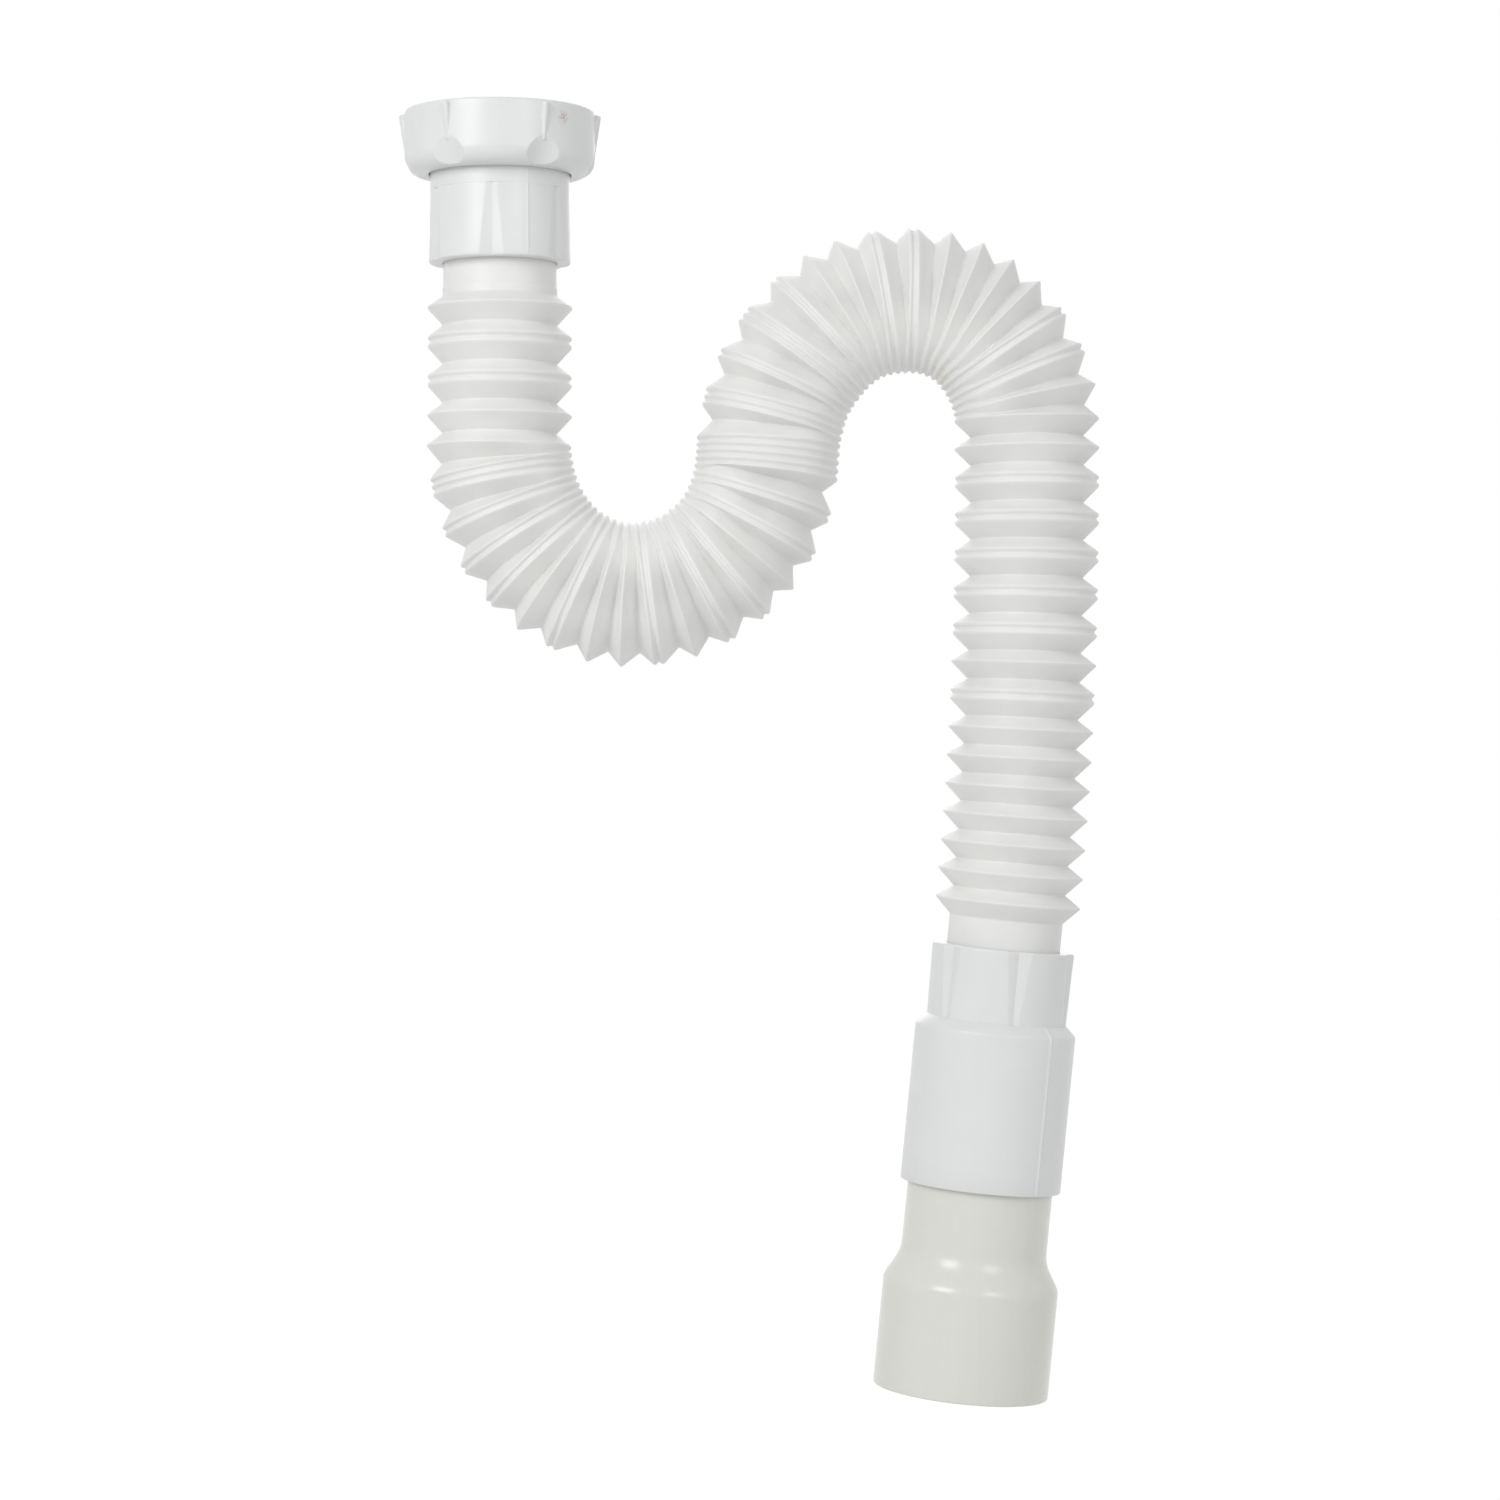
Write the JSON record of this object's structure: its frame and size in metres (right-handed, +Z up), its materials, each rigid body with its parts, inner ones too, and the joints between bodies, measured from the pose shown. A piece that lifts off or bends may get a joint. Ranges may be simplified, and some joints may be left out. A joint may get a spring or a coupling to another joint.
{
  "type": "flexible sink trap",
  "caption": "Flexible sink trap: a union nut and ferrule, a bellows hose bent into a water seal, and a sleeve with a push-fit stepped outlet tail.",
  "frame": {"origin": "centre of the union nut's mouth, on the inlet axis", "axes": "+Z up along the inlet axis into the sink waste, +X from the inlet leg towards the drop leg, +Y square to the plane that the hose bends in"},
  "size_m": [0.193, 0.0526, 0.3547],
  "materials": {
    "white_fitting": "smooth moulded white polypropylene",
    "white_hose": "satin blow-moulded white polypropylene, slightly translucent",
    "beige_tail": "semi-gloss warm grey PVC",
    "rubber": "plain black rubber"
  },
  "bodies": {
    "nut": {"inlet_nut": "white_fitting"},
    "inlet": {"inlet_ferrule": "white_fitting", "inlet_washer": "rubber", "inlet_cuff_seal": "rubber"},
    "hose": {"hose": "white_hose"},
    "outlet": {"outlet_sleeve": "white_fitting", "outlet_cuff_seal": "rubber"},
    "tail": {"outlet_tail": "beige_tail", "tail_ring": "rubber"}
  },
  "joints": [
    {"name": "inlet_swivel", "type": "hinge", "parent": "nut", "child": "inlet", "pos_m": [0, 0, 0], "axis": [0, 0, 1], "continuous": true},
    {"name": "outlet_swing", "type": "hinge", "parent": "inlet", "child": "hose", "pos_m": [0.111, 0, -0.0874], "axis": [0, -1, 0], "range_deg": [-25, 60], "deforming": ["hose"]},
    {"name": "drop_stretch", "type": "slide", "parent": "hose", "child": "outlet", "axis": [-0.0971, 0, -0.9953], "range_m": [-0.08, 0.034], "deforming": ["hose"]},
    {"name": "tail_pull", "type": "slide", "parent": "outlet", "child": "tail", "axis": [-0.0971, 0, -0.9953], "range_m": [0, 0.026]}
  ]
}
